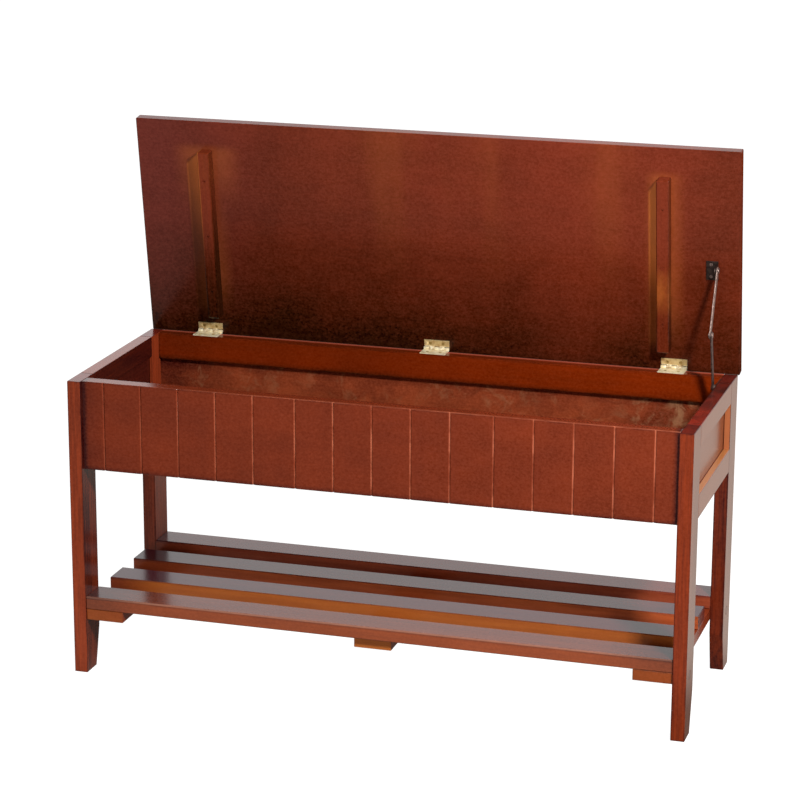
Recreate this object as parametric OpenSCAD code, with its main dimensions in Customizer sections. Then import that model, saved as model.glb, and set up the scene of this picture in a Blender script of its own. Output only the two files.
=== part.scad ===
// Shoe storage bench: four tapered legs, a panelled box with a hinged lid, and a slatted shelf below.
// X runs along the bench, +Y to the back, +Z up. The floor is z = 0.
// The origin is under the middle of the whole bench with its lid open, as it stands here.

/* [Overall size] */
// Length over the legs
bench_l = 889; // [700:1:1200]
// Depth over the legs
bench_d = 318; // [290:1:380]
// Height to the top of the legs
bench_h = 432; // [400:1:500]

/* [Legs] */
// Thickness of a leg along the bench
leg_t = 19.5; // [18:0.5:30]
// Width of a leg from front to back
leg_w = 48; // [44:1:60]
// Width of the foot at the floor
foot_w = 34; // [26:1:42]
// Height at which the taper ends
taper_h = 58; // [30:1:74]

/* [Box] */
// Height of the grooved front panel
front_h = 128; // [118:1:150]
// Thickness of the front panel
front_t = 21; // [18:0.5:24]
// Set-back of the front panel behind the legs
front_inset = 5; // [0:0.5:8]
// Height of an end's top rail
end_top_h = 30; // [26:1:36]
// Height of the bottom rails
low_rail_h = 34; // [28:1:40]
// Thickness of the rear rails
rear_rail_t = 21; // [19:0.5:24]
// Height of the rear top rail
rear_top_h = 39; // [32:1:46]
// Distance from the top of the legs down to the underside of the bottom rails
rail_drop = 130; // [120:1:150]
// Thickness of the thin panels in the ends and the back
panel_t = 6; // [4:0.5:8]
// Set-back of an end panel from the outside of the rails
panel_inset = 9; // [5:0.5:10]
// Depth of the grooves that hold the thin panels
groove_d = 6; // [4:0.5:8]
// Thickness of the box floor
floor_t = 6; // [4:0.5:9]
// Height of the strips under the box floor
ledger_h = 14; // [10:1:16]
// Depth of the strips under the box floor
ledger_d = 12; // [8:1:18]

/* [Grooves in the front panel] */
// Grooves in each of the three groups
grooves_per_group = 5; // [3:1:6]
// Distance between grooves in a group
groove_pitch = 55.2; // [40:0.1:56]
// Distance between the last groove of a group and the first of the next
group_gap = 61; // [55:0.5:70]
// Width of a groove at the face
vee_w = 3.6; // [2:0.1:6]

/* [Shelf] */
// Height of the top of the slats
shelf_z = 115; // [110:1:160]
// Thickness of a slat
slat_t = 19; // [15:0.5:22]
// Width of a slat
slat_w = 47; // [35:1:55]
// Set-back of the outer slats from the leg faces
slat_inset = 2; // [0:0.5:8]
// Thickness of the cleats under the slats
cleat_t = 16; // [12:0.5:18]
// Width of an end cleat
cleat_w = 55; // [40:1:70]
// Width of the middle cleat
mid_cleat_w = 54; // [40:1:70]
// Set-back of the end cleats from the leg faces
cleat_inset = 3; // [0:0.5:10]
// Set-back of the middle cleat from the leg faces
mid_cleat_inset = 11; // [3:0.5:20]

/* [Lid] */
// Overhang of the lid past the legs at each end
lid_end_over = 1; // [0:0.5:8]
// Overhang of the closed lid past the front of the legs
lid_front_over = 5; // [0:0.5:10]
// Thickness of the lid
lid_t = 16; // [12:0.5:22]
// Angle by which the lid stands open
open_angle = 81.2; // [60:0.1:88]
// Distance from the hinge pin to the rear edge of the lid
lid_tail = 6; // [4:0.5:7]
// Width and height of a batten
batten_s = 18; // [14:0.5:19]
// Distance from the end of the bench to the middle of a batten
batten_inset = 106; // [99.5:0.5:140]
// Distance from the hinge pin to the near end of a batten
batten_near = 27; // [26:0.5:40]
// Distance from the front edge of the lid to the far end of a batten
batten_front_gap = 42; // [37:1:110]

/* [Hinges] */
// Length of a hinge
hinge_l = 38; // [30:1:50]
// Distance from the end of the bench to the middle of an outer hinge
hinge_inset = 93; // [92.5:0.5:130]
// Width of the leaf on the rail, from the pin
frame_leaf_w = 24.5; // [20:0.5:24.5]
// Width of the leaf on the lid, from the pin
lid_leaf_w = 12.5; // [11.5:0.5:16]
// Thickness of a leaf
leaf_t = 1.5; // [1:0.1:1.8]
// Diameter of the knuckles
barrel_d = 4.8; // [4.4:0.1:5.2]
// Diameter of a hinge pin
pin_d = 2.4; // [2:0.1:2.6]
// Distance from the rear of the bench to the hinge pin
pin_behind = 4; // [3:0.1:5]
// Distance between the two screws of a leaf
leaf_screw_gap = 19.4; // [16:0.1:24]

/* [Lid stay] */
// Distance along the lid from the hinge pin to the stay's pivot
stay_lid_v = 156; // [150:1:160]
// Distance from the underside of the lid to that pivot
stay_lid_drop = 13; // [11:0.5:15]
// Distance from the hinge pin forward to the pivot on the box
stay_box_in = 49; // [45:0.5:52]
// Distance from the top of the box down to that pivot
stay_box_drop = 8.5; // [8:0.5:12]
// Length of the upper arm between its pivots
upper_arm_l = 92; // [88:0.5:96]
// Length of the lower arm between its pivots
lower_arm_l = 85; // [82:0.5:90]
// Width of the arms
arm_w = 11; // [9:0.5:12]
// Thickness of the arms and brackets
arm_t = 1.6; // [1.2:0.1:2]
// Diameter of the pivots
pivot_d = 4; // [3:0.5:5]
// Distance from the inside of the legs to the lower arm
stay_standoff = 6.8; // [5:0.1:10]

/* [Eased edges] */
// Width of the chamfer on the edges of the lid, the battens and the slats
edge_ease = 1.2; // [0.5:0.1:2]

/* [Fasteners and fits] */
// Diameter of the dowels
dowel_d = 8; // [6:0.5:10]
// Length of a dowel on each side of its joint
dowel_half = 14; // [10:0.5:16]
// Diameter of the leg bolts
bolt_d = 6; // [5:0.5:7]
// Diameter of the plugs over the leg bolts
plug_d = 12; // [11:0.5:14]
// Thickness of a plug
plug_t = 4; // [3:0.5:5]
// Shank diameter of the wood screws
screw_d = 3.5; // [3:0.1:4]
// Shank diameter of the hinge and bracket screws
small_screw_d = 2.6; // [2.2:0.1:3]
// Radial clearance of dowels, screws and bolts in their holes
hole_gap = 0.05; // [0.02:0.01:0.1]
// Radial clearance of a turning pin
run_gap = 0.05; // [0.02:0.01:0.1]
// Clearance between pieces that lie side by side
fit_gap = 0.3; // [0.2:0.05:0.4]

/* [Hidden] */
$fn = 48;

// A cut runs this far past the face that it opens
past = 1;

// Hinge pin and lid, worked out from the knuckles
barrel_r = barrel_d / 2;
pin_rise = barrel_r + fit_gap;
pin_z = bench_h + pin_rise;
back_reach = pin_behind + (lid_tail - edge_ease) * cos(open_angle) + (pin_rise + lid_t) * sin(open_angle);

// Lid, battens and hinges, which keep to the ends and the depth of the bench
lid_l = bench_l + 2 * lid_end_over;
lid_d = bench_d + pin_behind + lid_tail + lid_front_over;
batten_x = bench_l / 2 - batten_inset;
batten_far = lid_d - lid_tail - batten_front_gap;
hinge_x = bench_l / 2 - hinge_inset;

// Main planes of the bench
front_y = -(bench_d + back_reach) / 2;
rear_y = front_y + bench_d;
pin_y = rear_y + pin_behind;
side_x = bench_l / 2;
in_x = side_x - leg_t;
front_in = front_y + front_inset + front_t;
rear_in = rear_y - rear_rail_t;
front_leg_y = front_y + leg_w;
rear_leg_y = rear_y - leg_w;
mid_y = (front_y + rear_y) / 2;

// Levels of the box
rail_z = bench_h - rail_drop;
low_rail_top = rail_z + low_rail_h;
end_top_z = bench_h - end_top_h;
rear_top_z = bench_h - rear_top_h;
floor_z = rail_z + ledger_h;
tongue = groove_d - fit_gap;
end_panel_x = side_x - panel_inset - panel_t;
rear_panel_y = rear_y - (rear_rail_t + panel_t) / 2;

// Levels of the shelf
slat_z = shelf_z - slat_t;
cleat_z = slat_z - cleat_t;
slat_step = (bench_d - 2 * slat_inset - slat_w) / 3;
function slat_y(i) = front_y + slat_inset + i * slat_step;
bolt_z = cleat_z + cleat_t / 2;

// Screws
screw_head_d = screw_d * 2;
screw_head_h = screw_d * 0.55;
small_head_d = small_screw_d * 1.9;
small_head_h = small_screw_d * 0.45;
slat_screw_l = cleat_t + slat_t * 0.6;
batten_screw_l = batten_s + lid_t * 0.55;
leaf_screw_l = leaf_t + lid_t * 0.5;
frame_screw_l = 14;
bracket_screw_l = arm_t + lid_t * 0.5;

// Leg bolts run under their plugs, through the leg and into the cleat
bolt_head_d = plug_d - 2;
bolt_head_h = 3;
bolt_sink = plug_t + bolt_head_h + hole_gap;
bolt_reach = 38;

// Hinge knuckles, three on the rail's leaf and two on the lid's
knuckles = 5;
knuckle_pitch = hinge_l / knuckles;
tab_root = barrel_r / 2;
frame_screw_v = frame_leaf_w * 0.62;
lid_screw_v = lid_leaf_w * 0.6;

// Lid stay, in planes side by side along X
lower_arm_x = in_x - stay_standoff - arm_t;
upper_arm_x = lower_arm_x - fit_gap - arm_t;
ear_x = upper_arm_x - fit_gap - arm_t;
pivot_head_d = 8;
pivot_head_h = 1.3;
bracket_l = 28;
bracket_w = 17;
bracket_v = stay_lid_v - 5;
bracket_screw_v = 9;
plate_h = 15;
plate_reach = 22;
plate_screw_y = [11, 17.5];

// Pivots of the stay as [y, z], with the lid open
function lid_to_bench(v, up) = [
  pin_y - v * cos(open_angle) + up * sin(open_angle),
  pin_z + v * sin(open_angle) + up * cos(open_angle)
];
stay_a = lid_to_bench(stay_lid_v, pin_rise - stay_lid_drop);
stay_b = [pin_y - stay_box_in, bench_h - stay_box_drop];
// The elbow is where the two arms meet, on the side toward the front
span = norm(stay_b - stay_a);
along = (span * span + upper_arm_l * upper_arm_l - lower_arm_l * lower_arm_l) / (2 * span);
aside = sqrt(upper_arm_l * upper_arm_l - along * along);
dir = (stay_b - stay_a) / span;
stay_e = stay_a + along * dir + aside * [dir[1], -dir[0]];

// Colours
stain = "#7a3418";
stain_dark = "#5c2412";
stain_light = "#a35a22";
ply = "#8a4a26";
brass = "#e6d9a0";
steel = "#b9bcc0";
dark_steel = "#5d5f63";

// Helpers
module block(lo, hi) translate(lo) cube(hi - lo);

// A rectangle with its corners cut off by the width of the chamfer
module eased_outline(lo, hi) polygon([
  [lo[0] + edge_ease, lo[1]], [hi[0] - edge_ease, lo[1]],
  [hi[0], lo[1] + edge_ease], [hi[0], hi[1] - edge_ease],
  [hi[0] - edge_ease, hi[1]], [lo[0] + edge_ease, hi[1]],
  [lo[0], hi[1] - edge_ease], [lo[0], lo[1] + edge_ease]
]);

// A block with only its edges along X eased, and a block with all its edges eased
module eased_length(lo, hi) translate([lo[0], 0, 0]) rotate([90, 0, 90])
  linear_extrude(hi[0] - lo[0]) eased_outline([lo[1], lo[2]], [hi[1], hi[2]]);
module eased_block(lo, hi) intersection() {
  eased_length(lo, hi);
  translate([0, 0, lo[2]]) linear_extrude(hi[2] - lo[2]) eased_outline([lo[0], lo[1]], [hi[0], hi[1]]);
  translate([0, hi[1], 0]) rotate([90, 0, 0])
    linear_extrude(hi[1] - lo[1]) eased_outline([lo[0], lo[2]], [hi[0], hi[2]]);
}

// A cylinder along X from x = 0
module rod(d, l) rotate([0, 90, 0]) cylinder(d = d, h = l);

// A cylinder along Y from y = 0
module rod_y(d, l) rotate([-90, 0, 0]) cylinder(d = d, h = l);

// A countersunk screw that points up from z = 0, with its head flush there
module screw(d, head_d, head_h, l) {
  cylinder(d1 = head_d, d2 = d, h = head_h);
  cylinder(d = d, h = l);
}

// The hole for that screw, a little larger all round and open below
module screw_hole(d, head_d, head_h, l) {
  translate([0, 0, -past]) cylinder(d = head_d + 2 * hole_gap, h = past);
  cylinder(d1 = head_d + 2 * hole_gap, d2 = d + 2 * hole_gap, h = head_h);
  cylinder(d = d + 2 * hole_gap, h = l + hole_gap);
}

module wood_screw(l) screw(screw_d, screw_head_d, screw_head_h, l);
module wood_screw_hole(l) screw_hole(screw_d, screw_head_d, screw_head_h, l);
module small_screw(l) screw(small_screw_d, small_head_d, small_head_h, l);
module small_screw_hole(l) screw_hole(small_screw_d, small_head_d, small_head_h, l);

// The lid is drawn closed about the hinge pin, then stands open
module on_lid() translate([0, pin_y, pin_z]) rotate([-open_angle, 0, 0]) children();

// Places of the dowels: those along Y in the ends, those along X in the front and back
end_dowel_z = [end_top_z + end_top_h / 2, rail_z + low_rail_h / 2];
front_dowel_z = [bench_h - front_h * 0.22, bench_h - front_h * 0.78];
rear_dowel_z = [rear_top_z + rear_top_h / 2, rail_z + low_rail_h / 2];
front_dowel_y = front_y + front_inset + front_t / 2;
rear_dowel_y = rear_y - rear_rail_t / 2;

module dowels(gap = 0) {
  d = dowel_d + 2 * gap;
  l = 2 * dowel_half + 2 * gap;
  for (sx = [-1, 1]) {
    for (z = end_dowel_z, y = [front_leg_y, rear_leg_y])
      translate([sx * (side_x - leg_t / 2), y - dowel_half - gap, z]) rod_y(d, l);
    for (z = front_dowel_z) translate([sx * in_x - dowel_half - gap, front_dowel_y, z]) rod(d, l);
    for (z = rear_dowel_z) translate([sx * in_x - dowel_half - gap, rear_dowel_y, z]) rod(d, l);
  }
}

// Places of the leg bolts, at the middle of each leg
leg_mid_y = [front_y + leg_w / 2, rear_y - leg_w / 2];

// One bolt, pointing toward -X from the outside of the right-hand leg at x = 0
module leg_bolt() {
  translate([-bolt_sink, 0, 0]) rod(bolt_head_d, bolt_head_h);
  translate([-bolt_reach, 0, 0]) rod(bolt_d, bolt_reach - bolt_sink);
}

module leg_bolt_hole() {
  translate([-bolt_sink - hole_gap, 0, 0]) rod(plug_d + 2 * hole_gap, bolt_sink + hole_gap + past);
  translate([-bolt_reach - hole_gap, 0, 0]) rod(bolt_d + 2 * hole_gap, bolt_reach);
}

module at_bolts() for (m = [0, 1], y = leg_mid_y) mirror([m, 0, 0])
  translate([side_x, y, bolt_z]) children();

// Places of the slat screws, driven up through the cleats
cleat_x = [-(in_x - cleat_w / 2), 0, in_x - cleat_w / 2];
module at_slat_screws() for (x = cleat_x, i = [0:3])
  translate([x, slat_y(i) + slat_w / 2, cleat_z]) children();

// Places of the hinges
hinges = [-hinge_x, 0, hinge_x];
module at_frame_screws() for (x = hinges, s = [-1, 1])
  translate([x + s * leaf_screw_gap / 2, pin_y - frame_screw_v, bench_h + leaf_t]) mirror([0, 0, 1])
    children();
module at_lid_screws() for (x = hinges, s = [-1, 1])
  translate([x + s * leaf_screw_gap / 2, -lid_screw_v, pin_rise - leaf_t]) children();

// Places of the screws through the battens into the lid
batten_screws_n = 3;
module at_batten_screws() for (s = [-1, 1], i = [0:batten_screws_n - 1])
  translate([
    s * batten_x,
    -(batten_near + (batten_far - batten_near) * (i + 0.5) / batten_screws_n),
    pin_rise - batten_s
  ]) children();

// Places of the screws of the stay's two brackets
module at_bracket_screws() for (s = [-1, 1])
  translate([ear_x - bracket_w / 2, -(bracket_v + s * bracket_screw_v), pin_rise - arm_t]) children();
module at_plate_screws() for (y = plate_screw_y)
  translate([in_x - arm_t, stay_b[0] + y, stay_b[1]]) rotate([0, 90, 0]) children();

// Grooves that hold the end panel and the rear panel
module end_panel_groove() block(
  [end_panel_x - fit_gap / 2, front_leg_y - groove_d, low_rail_top - groove_d],
  [end_panel_x + panel_t + fit_gap / 2, rear_leg_y + groove_d, end_top_z + groove_d]);
module rear_panel_groove() block(
  [-in_x - groove_d, rear_panel_y - fit_gap / 2, low_rail_top - groove_d],
  [in_x + groove_d, rear_panel_y + panel_t + fit_gap / 2, rear_top_z + groove_d]);

// The right-hand front leg. The rest are mirror images of it, each with its own cuts
module leg_blank() translate([in_x, 0, 0]) rotate([90, 0, 90]) linear_extrude(leg_t) polygon([
  [front_y, 0], [front_y + foot_w, 0], [front_leg_y, taper_h], [front_leg_y, bench_h], [front_y, bench_h]
]);

module leg(right, rear) {
  color(stain) difference() {
    mirror([right ? 0 : 1, 0, 0]) translate([0, rear ? mid_y : 0, 0]) mirror([0, rear ? 1 : 0, 0])
      translate([0, rear ? -mid_y : 0, 0]) leg_blank();
    dowels(hole_gap);
    at_bolts() leg_bolt_hole();
    for (m = [0, 1]) mirror([m, 0, 0]) end_panel_groove();
    rear_panel_groove();
    at_plate_screws() small_screw_hole(bracket_screw_l);
  }
}

// The front panel, with its upright V-grooves in three groups
group_l = (grooves_per_group - 1) * groove_pitch;
first_groove = -(3 * group_l + 2 * group_gap) / 2;
module front_panel() {
  color(stain) difference() {
    block([-in_x, front_y + front_inset, bench_h - front_h], [in_x, front_in, bench_h]);
    for (g = [0:2], i = [0:grooves_per_group - 1])
      translate([first_groove + g * (group_l + group_gap) + i * groove_pitch, front_y + front_inset, 0])
        rotate([0, 0, 45]) translate([-vee_w / sqrt(8), -vee_w / sqrt(8), bench_h - front_h - past])
          cube([vee_w / sqrt(2), vee_w / sqrt(2), front_h + 2 * past]);
    dowels(hole_gap);
  }
}

// Rails of the ends
module end_rail(z, h) color(stain) difference() {
  block([in_x, front_leg_y, z], [side_x, rear_leg_y, z + h]);
  dowels(hole_gap);
  end_panel_groove();
}

module end_panel() color(stain_dark) block(
  [end_panel_x, front_leg_y - tongue, low_rail_top - tongue],
  [end_panel_x + panel_t, rear_leg_y + tongue, end_top_z + tongue]);

// Back of the box
module rear_rail(z, h) color(stain) difference() {
  block([-in_x, rear_in, z], [in_x, rear_y, z + h]);
  dowels(hole_gap);
  rear_panel_groove();
  at_frame_screws() small_screw_hole(frame_screw_l);
}

module rear_panel() color(ply) block(
  [-in_x - tongue, rear_panel_y, low_rail_top - tongue],
  [in_x + tongue, rear_panel_y + panel_t, rear_top_z + tongue]);

// Floor of the box and the strips that carry it
module bottom_panel() color(ply) block(
  [-in_x + fit_gap, front_in + fit_gap, floor_z], [in_x - fit_gap, rear_in - fit_gap, floor_z + floor_t]);
module floor_ledger(y) color(stain_dark) block(
  [-in_x + fit_gap, y, rail_z], [in_x - fit_gap, y + ledger_d, floor_z]);

// Shelf
module shelf_slat(i) color(stain_light) difference() {
  eased_length([-in_x, slat_y(i), slat_z], [in_x, slat_y(i) + slat_w, shelf_z]);
  at_slat_screws() wood_screw_hole(slat_screw_l);
}

module shelf_cleat(x, w, inset) color(stain_light) difference() {
  block([x - w / 2, front_y + inset, cleat_z], [x + w / 2, rear_y - inset, slat_z]);
  at_slat_screws() wood_screw_hole(slat_screw_l);
  at_bolts() leg_bolt_hole();
}

module slat_screws() color(steel) at_slat_screws() wood_screw(slat_screw_l);
module leg_plugs() color(stain_light) at_bolts() translate([-plug_t, 0, 0]) rod(plug_d, plug_t);
module leg_bolts() color(steel) at_bolts() leg_bolt();
module frame_dowels() color("#c9a36b") dowels();

// Hinges. A leaf is drawn about the pin at the origin, on its lower side
module knuckle(i, d) translate([-hinge_l / 2 + i * knuckle_pitch + fit_gap / 2, 0, 0])
  rod(d, knuckle_pitch - fit_gap);

module leaf(w, mine) difference() {
  union() {
    block([-hinge_l / 2, -w, -pin_rise], [hinge_l / 2, -barrel_r - fit_gap, leaf_t - pin_rise]);
    for (i = mine) {
      knuckle(i, barrel_d);
      translate([-hinge_l / 2 + i * knuckle_pitch + fit_gap / 2, 0, 0])
        block([0, -w, -pin_rise], [knuckle_pitch - fit_gap, -tab_root, leaf_t - pin_rise]);
    }
  }
  translate([-hinge_l, 0, 0]) rod(pin_d + 2 * run_gap, 2 * hinge_l);
}

module hinge_frame_leaf(x) color(brass) difference() {
  translate([x, pin_y, pin_z]) leaf(frame_leaf_w, [0, 2, 4]);
  at_frame_screws() small_screw_hole(frame_screw_l);
}

module hinge_lid_leaf(x) color(brass) on_lid() difference() {
  translate([x, 0, 0]) mirror([0, 0, 1]) leaf(lid_leaf_w, [1, 3]);
  at_lid_screws() small_screw_hole(leaf_screw_l);
}

module hinge_pin(x) color(brass) translate([x - hinge_l / 2, pin_y, pin_z]) rod(pin_d, hinge_l);

module hinge_frame_screws() color(brass) at_frame_screws() small_screw(frame_screw_l);
module hinge_lid_screws() color(brass) on_lid() at_lid_screws() small_screw(leaf_screw_l);

// Lid
module lid_board() color(stain) on_lid() difference() {
  eased_block([-lid_l / 2, lid_tail - lid_d, pin_rise], [lid_l / 2, lid_tail, pin_rise + lid_t]);
  at_lid_screws() small_screw_hole(leaf_screw_l);
  at_batten_screws() wood_screw_hole(batten_screw_l);
  at_bracket_screws() small_screw_hole(bracket_screw_l);
}

// A batten keeps its sharp edges where it meets the lid
module lid_batten(s) color(stain) on_lid() difference() {
  intersection() {
    eased_block([s * batten_x - batten_s / 2, -batten_far, pin_rise - batten_s],
      [s * batten_x + batten_s / 2, -batten_near, pin_rise + edge_ease]);
    block([s * batten_x - batten_s, -batten_far, pin_rise - batten_s],
      [s * batten_x + batten_s, -batten_near, pin_rise]);
  }
  at_batten_screws() wood_screw_hole(batten_screw_l);
}

module batten_screws() color(steel) on_lid() at_batten_screws() wood_screw(batten_screw_l);

// Lid stay. The bracket on the lid is an angle with a round-ended ear
module stay_lid_bracket() color(dark_steel) on_lid() difference() {
  union() {
    block([ear_x - bracket_w + arm_t, -bracket_v - bracket_l / 2, pin_rise - arm_t],
      [ear_x + arm_t, -bracket_v + bracket_l / 2, pin_rise]);
    block([ear_x, -stay_lid_v - arm_w / 2, pin_rise - stay_lid_drop],
      [ear_x + arm_t, -stay_lid_v + arm_w / 2, pin_rise]);
    translate([ear_x, -stay_lid_v, pin_rise - stay_lid_drop]) rod(arm_w, arm_t);
  }
  translate([ear_x - past, -stay_lid_v, pin_rise - stay_lid_drop])
    rod(pivot_d + 2 * hole_gap, arm_t + 2 * past);
  at_bracket_screws() small_screw_hole(bracket_screw_l);
}

// A headed pivot along X, from x0 to x1 between its heads
module pivot(x0, x1) {
  translate([x0 - pivot_head_h, 0, 0]) rod(pivot_head_d, pivot_head_h);
  translate([x0, 0, 0]) rod(pivot_d, x1 - x0);
  translate([x1, 0, 0]) rod(pivot_head_d, pivot_head_h);
}

module stay_lid_pin() color(steel) on_lid() translate([0, -stay_lid_v, pin_rise - stay_lid_drop])
  pivot(ear_x, upper_arm_x + arm_t + fit_gap);
module stay_lid_screws() color(steel) on_lid() at_bracket_screws() small_screw(bracket_screw_l);

// The bracket on the box is a flat plate with a standing pivot
module stay_box_bracket() color(dark_steel) difference() {
  block([in_x - arm_t, stay_b[0] - plate_h / 2, stay_b[1] - plate_h / 2],
    [in_x, stay_b[0] + plate_reach, stay_b[1] + plate_h / 2]);
  translate([in_x - arm_t - past, stay_b[0], stay_b[1]]) rod(pivot_d + 2 * hole_gap, arm_t + 2 * past);
  at_plate_screws() small_screw_hole(bracket_screw_l);
}

module stay_box_pin() color(steel) translate([0, stay_b[0], stay_b[1]]) {
  translate([lower_arm_x - fit_gap - pivot_head_h, 0, 0]) rod(pivot_head_d, pivot_head_h);
  translate([lower_arm_x - fit_gap, 0, 0]) rod(pivot_d, in_x - lower_arm_x + fit_gap);
  translate([lower_arm_x + arm_t + fit_gap, 0, 0])
    rod(pivot_head_d, in_x - arm_t - lower_arm_x - arm_t - fit_gap);
}
module stay_box_screws() color(steel) at_plate_screws() small_screw(bracket_screw_l);

// A flat arm between two points [y, z], with round ends. A bored end turns on its pivot
module arm(x, a, b, l) translate([x, a[0], a[1]])
  rotate([atan2(b[1] - a[1], b[0] - a[0]), 0, 0]) difference() {
    union() {
      block([0, 0, -arm_w / 2], [arm_t, l, arm_w / 2]);
      rod(arm_w, arm_t);
      translate([0, l, 0]) rod(arm_w, arm_t);
    }
    translate([-past, 0, 0]) rod(pivot_d + 2 * run_gap, arm_t + 2 * past);
    translate([-past, l, 0]) rod(pivot_d + 2 * hole_gap, arm_t + 2 * past);
  }

module stay_upper_arm() color(steel) arm(upper_arm_x, stay_a, stay_e, upper_arm_l);
module stay_lower_arm() color(dark_steel) arm(lower_arm_x, stay_b, stay_e, lower_arm_l);

// The elbow's rivet, headed on the inner side of the upper arm
module stay_elbow_rivet() color(steel) translate([upper_arm_x, stay_e[0], stay_e[1]]) {
  translate([-pivot_head_h, 0, 0]) rod(pivot_head_d, pivot_head_h);
  rod(pivot_d, arm_t);
}

// The elbow's washer and riveted end, on the outer side of the lower arm
module stay_elbow_washer() color(steel) translate([lower_arm_x, stay_e[0], stay_e[1]]) {
  rod(pivot_d, arm_t);
  translate([arm_t, 0, 0]) rod(pivot_head_d, pivot_head_h);
}

leg(false, false);  // leg_front_left
leg(true, false);  // leg_front_right
leg(false, true);  // leg_rear_left
leg(true, true);  // leg_rear_right
front_panel();
mirror([1, 0, 0]) end_rail(end_top_z, end_top_h);  // end_top_rail_left
end_rail(end_top_z, end_top_h);  // end_top_rail_right
mirror([1, 0, 0]) end_rail(rail_z, low_rail_h);  // end_bottom_rail_left
end_rail(rail_z, low_rail_h);  // end_bottom_rail_right
mirror([1, 0, 0]) end_panel();  // end_panel_left
end_panel();  // end_panel_right
rear_rail(rear_top_z, rear_top_h);  // rear_top_rail
rear_rail(rail_z, low_rail_h);  // rear_bottom_rail
rear_panel();
bottom_panel();
floor_ledger(front_in);  // floor_ledger_front
floor_ledger(rear_in - ledger_d);  // floor_ledger_rear
shelf_slat(0);  // shelf_slat_front
shelf_slat(1);  // shelf_slat_mid_front
shelf_slat(2);  // shelf_slat_mid_rear
shelf_slat(3);  // shelf_slat_rear
shelf_cleat(cleat_x[0], cleat_w, cleat_inset);  // shelf_cleat_left
shelf_cleat(cleat_x[1], mid_cleat_w, mid_cleat_inset);  // shelf_cleat_middle
shelf_cleat(cleat_x[2], cleat_w, cleat_inset);  // shelf_cleat_right
slat_screws();
leg_plugs();
leg_bolts();
frame_dowels();
hinge_frame_leaf(hinges[0]);  // hinge_frame_leaf_left
hinge_frame_leaf(hinges[1]);  // hinge_frame_leaf_middle
hinge_frame_leaf(hinges[2]);  // hinge_frame_leaf_right
hinge_pin(hinges[0]);  // hinge_pin_left
hinge_pin(hinges[1]);  // hinge_pin_middle
hinge_pin(hinges[2]);  // hinge_pin_right
hinge_frame_screws();
stay_box_bracket();
stay_box_pin();
stay_box_screws();
lid_board();
lid_batten(-1);  // lid_batten_left
lid_batten(1);  // lid_batten_right
batten_screws();
hinge_lid_leaf(hinges[0]);  // hinge_lid_leaf_left
hinge_lid_leaf(hinges[1]);  // hinge_lid_leaf_middle
hinge_lid_leaf(hinges[2]);  // hinge_lid_leaf_right
hinge_lid_screws();
stay_lid_bracket();
stay_lid_pin();
stay_lid_screws();
stay_upper_arm();
stay_elbow_rivet();
stay_lower_arm();
stay_elbow_washer();
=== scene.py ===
from math import pi, radians

import bpy
from mathutils import Matrix, Vector


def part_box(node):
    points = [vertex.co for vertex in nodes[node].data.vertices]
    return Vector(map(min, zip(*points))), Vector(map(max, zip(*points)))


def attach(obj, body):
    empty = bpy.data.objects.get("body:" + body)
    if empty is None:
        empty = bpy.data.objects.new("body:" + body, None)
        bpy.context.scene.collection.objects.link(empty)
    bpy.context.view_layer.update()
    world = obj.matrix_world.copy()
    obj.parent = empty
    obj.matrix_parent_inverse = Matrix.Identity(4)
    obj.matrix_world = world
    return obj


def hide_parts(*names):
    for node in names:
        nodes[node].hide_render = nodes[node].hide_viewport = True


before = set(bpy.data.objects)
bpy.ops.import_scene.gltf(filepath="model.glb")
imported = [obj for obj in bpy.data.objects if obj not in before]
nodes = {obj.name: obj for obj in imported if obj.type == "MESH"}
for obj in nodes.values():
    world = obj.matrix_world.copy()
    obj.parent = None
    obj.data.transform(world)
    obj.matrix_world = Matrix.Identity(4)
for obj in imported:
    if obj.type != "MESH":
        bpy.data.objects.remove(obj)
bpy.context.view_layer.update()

# Sizes are in metres, in the bench's own frame: X along the bench, Y to the back, Z up
X, Y, Z = range(3)
LID_OPEN = radians(81.2)
SAME_PLACE = 0.00001


def linear(red, green, blue):
    """A colour given 0 to 255 as on a screen, as the shader wants it."""
    shares = (c / 255 for c in (red, green, blue))
    return tuple(c / 12.92 if c < 0.04 else ((c + 0.055) / 1.055) ** 2.4 for c in shares) + (1,)


# Shader building


def wire(tree, value, socket):
    if isinstance(value, bpy.types.NodeSocket):
        tree.links.new(value, socket)
    else:
        socket.default_value = value


def calc(tree, operation, *values, clamp=False):
    n = tree.nodes.new("ShaderNodeMath")
    n.operation = operation
    n.use_clamp = clamp
    for value, socket in zip(values, n.inputs):
        wire(tree, value, socket)
    return n.outputs[0]


def times(tree, value, *others):
    for other in others:
        value = calc(tree, "MULTIPLY", value, other)
    return value


def add_up(tree, first, *others):
    """The sum of the terms. A term is a value, or a value and its weight."""
    total = None
    for term in (first, *others):
        term = times(tree, *term) if isinstance(term, tuple) else term
        total = term if total is None else calc(tree, "ADD", total, term)
    return total


def vector_calc(tree, operation, *values):
    n = tree.nodes.new("ShaderNodeVectorMath")
    n.operation = operation
    for value, socket in zip(values, n.inputs):
        wire(tree, value, socket)
    return n.outputs["Value"] if operation in ("LENGTH", "DISTANCE", "DOT_PRODUCT") else n.outputs[0]


def scale_by(tree, vector, amount):
    n = tree.nodes.new("ShaderNodeVectorMath")
    n.operation = "SCALE"
    wire(tree, vector, n.inputs[0])
    wire(tree, amount, n.inputs["Scale"])
    return n.outputs[0]


def split(tree, vector):
    n = tree.nodes.new("ShaderNodeSeparateXYZ")
    wire(tree, vector, n.inputs[0])
    return n.outputs[0], n.outputs[1], n.outputs[2]


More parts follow.
